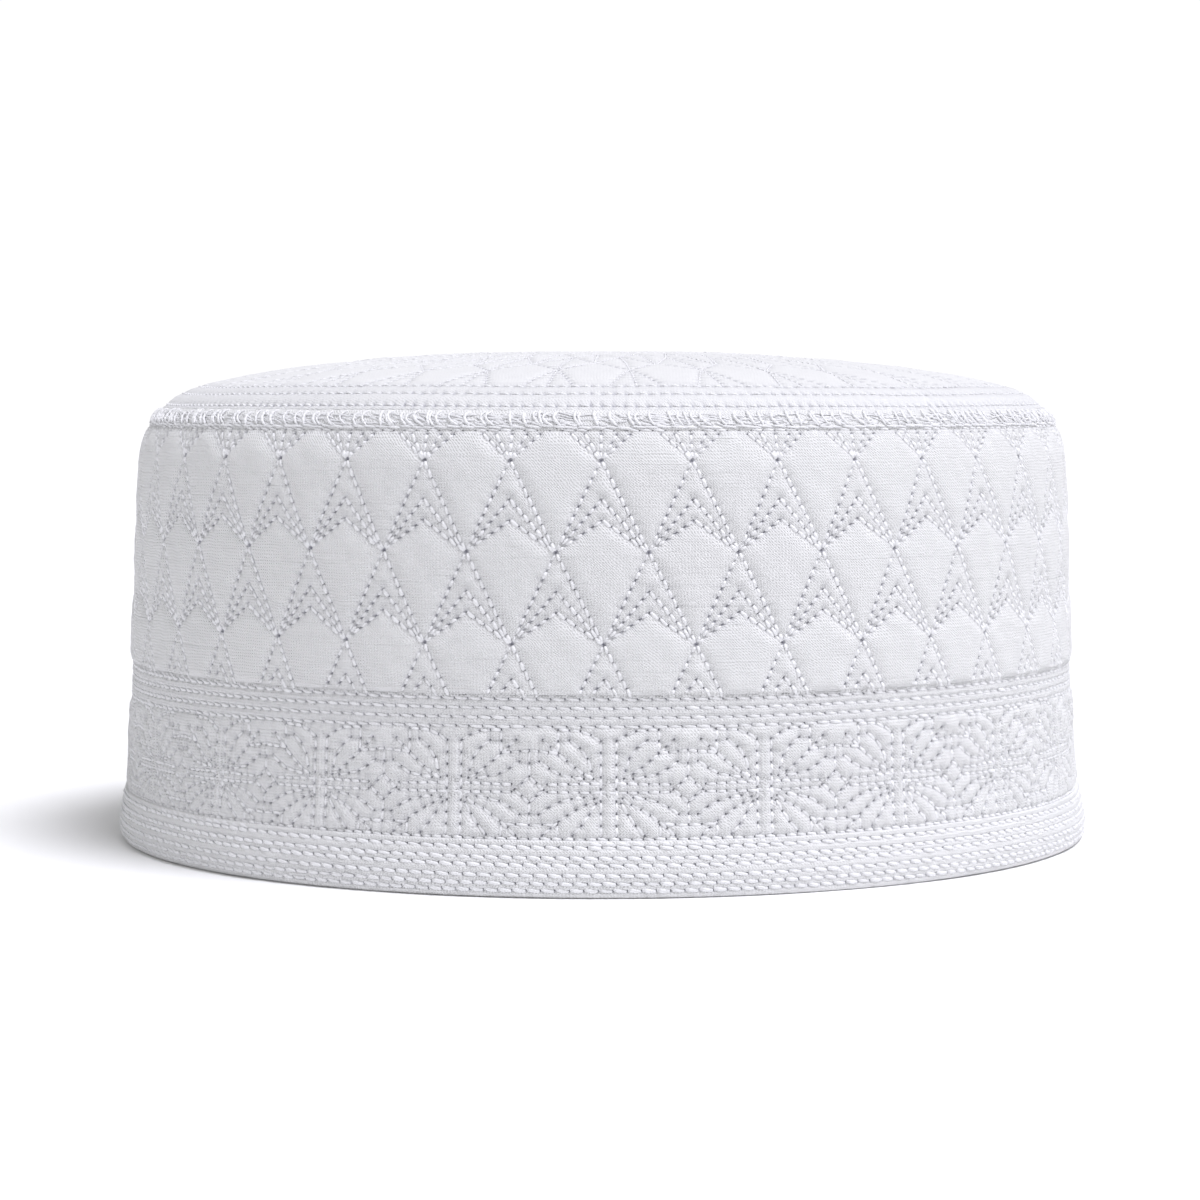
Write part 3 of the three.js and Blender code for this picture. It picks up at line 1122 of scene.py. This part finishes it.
def flower_cell_stitches(cell, length):
    """The stitches of one flower and of the dividing rows above it."""
    lines = list(FLOWER_SHARED_LINES.values())
    for line in FLOWER_LINES.values():
        lines.append(line)
        lines.append([(-x, up) for x, up in line])
    stitches = np.vstack([stitch_line(line, length) for line in lines])
    stitches[:, [1, 3]] += FLOWER_HEIGHT
    stitches = stitches[stitches[:, [1, 3]].min(axis=1) > cell.low + SIDE_MARGIN]
    rows = []
    pitch = cell.width / DIVIDER_STITCHES
    for index, up in enumerate(DIVIDER_ROWS):
        start = DIVIDER_SHIFT * pitch * index
        rows.append(stitch_line([(start, up), (start + cell.width, up)], pitch))
    return settled(cell, stitches), settled(cell, np.vstack(rows))


class PRAYER_CAP_OT_flowers(bpy.types.Operator):
    """Makes the lower side: the dividing rows and the band of flowers, with their stitches"""

    bl_idname = "prayer_cap.flowers"
    bl_label = "Band of flowers"

    def execute(self, context):
        settings = context.scene.cap_sizes
        sizes = StitchSizes(settings, depth_share=1.4, softness=0.8)
        sizes.slot = 0.4 * RISING_SLOT
        sizes.hole_depth *= 1.1
        cell = Band(FLOWER_WIDTH, HEM_JOINT, PATTERN_JOINT)
        flowers, rows = flower_cell_stitches(cell, FLOWER_STITCH)
        both = np.vstack([flowers, rows])
        places, faces, marks = quilted_surface(
            cell, both, FLOWERS_ROUND, FLOWER_TURN, on_flowers, sizes)
        mesh = array_mesh("quilted_flowers", places, faces)
        line_wall(mesh)
        piece = add_cloth(mesh, marks, cotton("cotton_lawn_quilted"))
        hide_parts("side_band")
        rng = np.random.default_rng(settings.seed + 1)
        sew("flower_stitches", cell, flowers, FLOWERS_ROUND, FLOWER_TURN, on_flowers, sizes, rng)
        sew("divider_stitches", cell, rows, FLOWERS_ROUND, FLOWER_TURN, on_flowers, sizes, rng,
            level=True)
        return {"FINISHED"}


def hem_heights():
    """The heights of the rings of points on the hem's outer face, from the fold up."""
    rows = sorted(HEM_ROWS)
    levels = [rows[0] - foot for foot in HEM_FOOT]
    for low, high in zip(rows, rows[1:] + [HEM_JOINT]):
        steps = max(3, round((high - low) / HEM_STEP))
        levels += [low + (high - low) * step / steps for step in range(steps)]
    return levels + [HEM_JOINT]


class PRAYER_CAP_OT_hem(bpy.types.Operator):
    """Makes the folded hem with its rope-like rows of stitches"""

    bl_idname = "prayer_cap.hem"
    bl_label = "Hem"

    def execute(self, context):
        settings = context.scene.cap_sizes
        sizes = StitchSizes(settings, depth_share=0.68)
        section = [(HEM_LINING_RADIUS, HEM_JOINT), (HEM_LINING_RADIUS, HEM_EASE)] + HEM_FOLD
        section += [(np.interp(up, *WALL_CURVE), up) for up in hem_heights()]
        mesh = spun_mesh("ribbed_hem", section, HEM_STITCHES * COLUMNS_PER_STITCH)
        turn, radius, up = round_places(mesh)
        outer = radius > HEM_FOLD[1][0]
        pitch = FULL_TURN * WALL_RADIUS / HEM_STITCHES
        pit = np.zeros(len(up))
        nearest = np.abs(up - (FLOWER_HEIGHT + FLOWER_SHARED_LINES["ground"][0][1]))
        for index, row in enumerate(HEM_ROWS):
            nearest = np.minimum(nearest, np.abs(up - row))
            along = (turn * WALL_RADIUS / pitch - self.shift(index)) % 1.0
            hole = np.hypot(np.minimum(along, 1 - along) * pitch, up - row)
            pit = np.maximum(pit, np.exp(-(hole / sizes.hole) ** 2))
        puff = 1 - np.exp(-nearest / HEM_SOFTNESS)
        lift = -sizes.depth * (1 - puff) - sizes.hole_depth * pit + wander(turn, up)
        lift *= np.clip(up / HEM_CALM, 0, 1)
        set_places(mesh, turn, radius + np.where(outer, lift, 0), up)
        pit = np.where(outer, pit, 0)
        # The pits of the hem's needle holes also carry painted shade into its colour
        piece = add_cloth(mesh, pit, cotton("cotton_lawn_hem"))
        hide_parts("hem_band")
        cell = Band(pitch, 0, HEM_TOP)
        rows = [[self.shift(index) * pitch, up, (self.shift(index) + 1) * pitch, up]
                for index, up in enumerate(HEM_ROWS)]
        rng = np.random.default_rng(settings.seed + 2)
        sew("hem_stitches", cell, np.array(rows), HEM_STITCHES, 0.0, on_wall, sizes, rng,
            width=1.1, level=True)
        turns = (np.arange(HEM_STITCHES) + 0.5) / HEM_STITCHES * FULL_TURN
        doubled = np.sin(7 * turns + 1.0) + np.sin(4 * turns) > 0.7
        sew("doubled_hem_stitches", cell, np.array([[0.0, DOUBLED_ROW, pitch, DOUBLED_ROW]]),
            HEM_STITCHES, 0.0, on_wall, sizes, rng, level=True, chosen=doubled)
        return {"FINISHED"}

    @staticmethod
    def shift(index):
        """Where a row's needle holes start, as a share of a stitch, on a column of the mesh."""
        return (index * 3 % COLUMNS_PER_STITCH) / COLUMNS_PER_STITCH


def crown_cell_stitches(cell, length):
    """The stitches of one slice of the crown."""
    lines = []
    spoke = cell.angle / SPOKES_PER_REPEAT
    for index in range(SPOKES_PER_REPEAT):
        turn = (index + 0.5) * spoke
        lines.append([polar(SPOKE_PEAK, turn), polar(SPOKE_FOOT, turn)])
        for side in (-1, 0, 1):
            lines.append([polar(SPOKE_FOOT, turn), polar(CROWN_ROWS[2], turn + side * FOOT_SPREAD)])
        for side in (-1, 1):
            between = turn + side * spoke / 2
            lines.append([polar(SPOKE_PEAK, turn), polar(SCALLOP_DIP, between)])
            lines.append([polar(SPOKE_FOOT, turn), polar(SCALLOP_DIP, between)])
            lines.append([polar(INNER_PEAK, between), polar(SPOKE_PEAK, turn)])
        lines.append([polar(SCALLOP_DIP, turn - spoke / 2), polar(INNER_PEAK, turn - spoke / 2)])
    middle = cell.angle / 2
    for side in (-1, 1):
        lines.append([polar(CROWN_ROWS[4], middle),
                      polar(PETAL_BELLY, middle + side * middle * PETAL_SPREAD),
                      polar(CROWN_ROWS[5], middle)])
    stitches = [stitch_line(line, length) for line in lines]
    for radius in CROWN_ROWS:
        count = max(1, round(cell.angle * radius / length))
        turns = [cell.angle * step / count for step in range(count + 1)]
        holes = np.array([polar(radius, turn) for turn in turns])
        stitches.append(np.hstack([holes[:-1], holes[1:]]))
    return settled(cell, np.vstack(stitches))


class PRAYER_CAP_OT_crown(bpy.types.Operator):
    """Makes the domed crown, quilted in spokes and scallops, with its stitches"""

    bl_idname = "prayer_cap.crown"
    bl_label = "Crown"

    def execute(self, context):
        settings = context.scene.cap_sizes
        sizes = StitchSizes(settings, depth_share=0.4, softness=0.6)
        sizes.hole *= 1.15
        sizes.hole_depth *= 0.7
        cell = Wedge(FULL_TURN / CROWN_REPEATS, CROWN_MIDDLE_RADIUS, CROWN_CLOTH_RADIUS)
        stitches = crown_cell_stitches(cell, CROWN_STITCH)
        places, faces, marks = quilted_surface(
            cell, stitches, CROWN_REPEATS, CROWN_TURN, on_crown, sizes)
        mesh = array_mesh("quilted_crown", places, faces)
        self.close(mesh)
        # Painted shade: the crown's outer ring is mixed a little towards the needle-hole shadow
        # colour, darkening the edge that slopes towards the lamps
        radius = np.hypot(places[:, 0], places[:, 1])
        grey = CROWN_EDGE_PAINTED_SHADE * np.clip((radius - CROWN_EDGE_SHADE_START) / CROWN_EDGE_SHADE_FADE, 0, 1)
        piece = add_cloth(mesh, np.maximum(marks, grey), cotton("cotton_lawn_crown", relief=0.8),
                          flat=True)
        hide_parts("crown")
        rng = np.random.default_rng(settings.seed + 3)
        sizes.sides = FINE_THREAD_SIDES
        sew("crown_stitches", cell, stitches, CROWN_REPEATS, CROWN_TURN, on_crown, sizes, rng,
            width=0.62, cover=0.74)
        return {"FINISHED"}

    @staticmethod
    def close(mesh):
        """Fills the small opening in the middle and adds the edge and the plain lining."""
        bm = bmesh.new()
        bm.from_mesh(mesh)
        edge_radius = CROWN_EDGE_RADIUS * MM / 2
        rim = [edge for edge in bm.edges if edge.is_boundary]
        middle = [edge for edge in rim if edge.verts[0].co.xy.length < edge_radius]
        outer = [edge for edge in rim if edge.verts[0].co.xy.length > edge_radius]
        bmesh.ops.contextual_create(bm, geom=middle)
        for radius in CROWN_LINING_RADII:
            made = bmesh.ops.extrude_edge_only(bm, edges=outer)["geom"]
            height = (np.interp(radius, *CROWN_CURVE) - CROWN_THICKNESS) * MM
            for vert in made:
                if isinstance(vert, bmesh.types.BMVert):
                    vert.co.xy *= radius * MM / vert.co.xy.length
                    vert.co.z = height
            outer = [item for item in made if isinstance(item, bmesh.types.BMEdge)]
        bmesh.ops.contextual_create(bm, geom=outer)
        bmesh.ops.recalc_face_normals(bm, faces=bm.faces)
        bm.to_mesh(mesh)
        bm.free()


def along_seam(share, turn, lift):
    """A place on the overcast seam: share 0 is its lower edge, 1 its upper edge."""
    surface = np.array(SEAM_SURFACE)
    steps = np.concatenate(([0], np.cumsum(np.hypot(*np.diff(surface, axis=0).T))))
    at = share * steps[-1]
    radius = np.interp(at, steps, surface[:, 0])
    height = np.interp(at, steps, surface[:, 1])
    ahead = np.clip(at + SEAM_SLOPE_REACH, 0, steps[-1])
    behind = np.clip(at - SEAM_SLOPE_REACH, 0, steps[-1])
    way_r = np.interp(ahead, steps, surface[:, 0]) - np.interp(behind, steps, surface[:, 0])
    way_z = np.interp(ahead, steps, surface[:, 1]) - np.interp(behind, steps, surface[:, 1])
    size = np.hypot(way_r, way_z)
    out_r, out_z = way_z / size, -way_r / size
    radius = radius + out_r * lift + wander(turn, height)
    place = np.stack([radius * np.sin(turn), -radius * np.cos(turn), height + out_z * lift], axis=-1)
    normal = np.stack([out_r * np.sin(turn), -out_r * np.cos(turn), out_z], axis=-1)
    return place, normal


def lay_on_seam(name, rise, turn, lift, half, taper, sides=THREAD_SIDES):
    """Lays round threads on the seam; taper is the width at each point, as a share."""
    widths = half * np.array(taper)
    add_threads(name, *along_seam(rise, turn, lift), widths, widths, sides)


class PRAYER_CAP_OT_seam(bpy.types.Operator):
    """Makes the overcast seam: its rolled edge, the loops over it and the strands under them"""

    bl_idname = "prayer_cap.seam"
    bl_label = "Overcast seam"

    def execute(self, context):
        self.roll()
        rng = np.random.default_rng(context.scene.cap_sizes.seed + 4)
        self.loops(rng)
        self.strands(rng)
        self.ropes(rng)
        return {"FINISHED"}

    @staticmethod
    def roll():
        """The rolled edge of cloth that the threads lie on."""
        mesh = spun_mesh("rolled_seam", SEAM_SURFACE + SEAM_BACK, SEAM_STEPS)
        turn, radius, up = round_places(mesh)
        set_places(mesh, turn, radius + wander(turn, up) * (radius > SEAM_INNER_RADIUS), up)
        piece = add_cloth(mesh, np.zeros(len(up)), cotton("cotton_lawn_hem"))
        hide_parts("overcast_seam")

    @staticmethod
    def loops(rng):
        """Loops of thread that lie over the edge, a little like the letter c."""
        points = 9
        share = np.linspace(0.0, 1.0, points)[None]
        count = LOOPS_ROUND + LOOPS_ROUND // 6
        start = np.arange(count, dtype=float)
        start[LOOPS_ROUND:] = rng.integers(0, LOOPS_ROUND, count - LOOPS_ROUND) + 0.35
        start = (start + 0.22 * rng.standard_normal(count))[:, None] * FULL_TURN / LOOPS_ROUND
        curl = rng.uniform(0.1, 1.6, (count, 1))
        lean = rng.uniform(-0.3, 1.1, (count, 1))
        foot = rng.uniform(0.1, 1.2, (count, 1))
        across = lean * share - curl * np.sin(math.pi * share) + foot * share ** 3
        head = LOOP_HEAD + 0.05 * rng.standard_normal((count, 1))
        rise = head + (LOOP_FOOT - head) * share
        lift = 0.12 + 0.12 * np.sin(math.pi * share) ** 0.5 - 0.37 * (1 - share) ** 6
        half = LOOP_HALF_WIDTH * (1 + 0.12 * rng.standard_normal((count, 1)))
        taper = [0.0, 0.8] + [1.0] * (points - 4) + [0.8, 0.0]
        lay_on_seam("overcast_loops", rise, start + across / WALL_RADIUS, lift, half, taper)

    @staticmethod
    def strands(rng):
        """Fine strands that run under the loops, nearly level, in twisted bundles."""
        count = LOOPS_ROUND * STRANDS_PER_LOOP
        points = 6
        share = np.linspace(0, 1, points)[None]
        start = rng.uniform(0, FULL_TURN, (count, 1))
        reach = rng.uniform(1.8, 3.6, (count, 1)) / WALL_RADIUS
        low = rng.uniform(0.15, 0.58, (count, 1))
        drop = rng.uniform(-0.05, 0.2, (count, 1))
        rise = np.clip(low + drop * (0.5 - share), 0, 1)
        bow = np.sin(math.pi * share)
        lift = 0.12 * bow - 0.03 + rng.uniform(-0.03, 0.1, (count, 1))
        half = STRAND_HALF_WIDTH * (1 + 0.15 * rng.standard_normal((count, 1)))
        lay_on_seam("seam_strands", rise, start + share * reach, lift, half,
                    [0.0, 0.9, 1.0, 1.0, 0.9, 0.0], FINE_THREAD_SIDES)

    @staticmethod
    def ropes(rng):
        """Long stitches that lie end over end along the foot of the loops."""
        points = 6
        share = np.linspace(0, 1, points)[None]
        start = np.arange(ROPES_ROUND)[:, None] + 0.1 * rng.standard_normal((ROPES_ROUND, 1))
        turn = (start + ROPE_REACH * share) * FULL_TURN / ROPES_ROUND
        rise = 0.13 - 0.05 * share + 0.012 * rng.standard_normal((ROPES_ROUND, 1))
        lift = 0.16 * np.sin(math.pi * share) - 0.02 + 0.02 * rng.standard_normal((ROPES_ROUND, 1))
        half = ROPE_HALF_WIDTH * (1 + 0.1 * rng.standard_normal((ROPES_ROUND, 1)))
        lay_on_seam("seam_ropes", rise, turn, lift, half, [0.0, 0.85, 1.0, 1.0, 0.8, 0.0])


def sun_light(name, strength, azimuth, elevation, size):
    """A large, far lamp: azimuth is its turn from the camera's side to the right."""
    azimuth = math.radians(azimuth)
    elevation = math.radians(elevation)
    data = bpy.data.lights.new(name, "SUN")
    data.energy = strength
    data.angle = math.radians(size)
    data.color = linear("#f8f8ff")[:3]
    light = bpy.data.objects.new(name, data)
    level = math.cos(elevation)
    way = Vector((level * math.sin(azimuth), -level * math.cos(azimuth), math.sin(elevation)))
    light.rotation_euler = way.to_track_quat("Z", "Y").to_euler()
    bpy.context.scene.collection.objects.link(light)


class PRAYER_CAP_OT_stage(bpy.types.Operator):
    """Makes the floor, the lights, the surroundings and the camera"""

    bl_idname = "prayer_cap.stage"
    bl_label = "Stage"

    def execute(self, context):
        scene = context.scene
        self.floor(scene)
        self.surroundings(scene)
        for lamp in LAMPS:
            sun_light(*lamp)
        self.camera(scene)
        scene.view_settings.view_transform = "Standard"
        return {"FINISHED"}

    @staticmethod
    def floor(scene):
        bm = bmesh.new()
        bmesh.ops.create_circle(bm, cap_ends=True, segments=96, radius=FLOOR_RADIUS)
        mesh = bpy.data.meshes.new("floor")
        bm.to_mesh(mesh)
        bm.free()
        mesh.materials.append(studio_paper(scene.cap_colours.paper[:]))
        floor = bpy.data.objects.new("floor", mesh)
        scene.collection.objects.link(floor)

    @staticmethod
    def surroundings(scene):
        """A white studio: bright walls near the horizon and a dimmer ceiling."""
        world = bpy.data.worlds.new("white_studio")
        world.use_nodes = True
        tree = world.node_tree
        tree.nodes.clear()
        way = add_node(tree, "ShaderNodeTexCoord")
        split = add_node(tree, "ShaderNodeSeparateXYZ", {0: way.outputs["Generated"]})
        level = add_node(tree, "ShaderNodeMapRange", {
            "Value": split.outputs["Z"], "From Min": 0.12, "From Max": 0.15,
            "To Min": 1.03, "To Max": 0.42})
        glow = add_node(tree, "ShaderNodeBackground", {
            "Color": linear("#ffffff"), "Strength": level.outputs[0]})
        add_node(tree, "ShaderNodeOutputWorld", {"Surface": glow.outputs[0]})
        scene.world = world

    @staticmethod
    def camera(scene):
        data = bpy.data.cameras.new("photo_camera")
        data.sensor_width = SENSOR_WIDTH
        data.lens = SENSOR_WIDTH * FOCAL_PIXELS / PICTURE_PIXELS
        camera = bpy.data.objects.new("photo_camera", data)
        centre = PICTURE_PIXELS / 2
        tilt = math.atan((centre - HORIZON_PIXEL) / FOCAL_PIXELS)
        swing = math.atan((AXIS_PIXEL - centre) / FOCAL_PIXELS)
        camera.location = (0, -CAMERA_DISTANCE, CAMERA_HEIGHT)
        camera.rotation_euler = (math.pi / 2 - tilt, 0, swing)
        scene.collection.objects.link(camera)
        scene.camera = camera


class PRAYER_CAP_PT_panel(bpy.types.Panel):
    """Lists the cap's sizes, colours and pieces"""

    bl_idname = "PRAYER_CAP_PT_panel"
    bl_label = "Prayer cap"
    bl_space_type = "VIEW_3D"
    bl_region_type = "UI"
    bl_category = "Prayer cap"

    def draw(self, context):
        layout = self.layout
        for group in (context.scene.cap_sizes, context.scene.cap_colours):
            for name in group.__annotations__:
                layout.prop(group, name)
        for operator in OPERATORS:
            layout.operator(operator.bl_idname)


OPERATORS = (
    PRAYER_CAP_OT_stage,
    PRAYER_CAP_OT_kites,
    PRAYER_CAP_OT_flowers,
    PRAYER_CAP_OT_hem,
    PRAYER_CAP_OT_crown,
    PRAYER_CAP_OT_seam,
)
CLASSES = (CapSizes, CapColours, *OPERATORS, PRAYER_CAP_PT_panel)


def register():
    for cls in CLASSES:
        bpy.utils.register_class(cls)
    bpy.types.Scene.cap_sizes = PointerProperty(type=CapSizes)
    bpy.types.Scene.cap_colours = PointerProperty(type=CapColours)


def unregister():
    del bpy.types.Scene.cap_colours
    del bpy.types.Scene.cap_sizes
    for cls in reversed(CLASSES):
        bpy.utils.unregister_class(cls)


def main():
    register()
    bpy.ops.prayer_cap.stage()
    bpy.ops.prayer_cap.kites()
    bpy.ops.prayer_cap.flowers()
    bpy.ops.prayer_cap.hem()
    bpy.ops.prayer_cap.crown()
    bpy.ops.prayer_cap.seam()


if __name__ == "__main__":
    main()
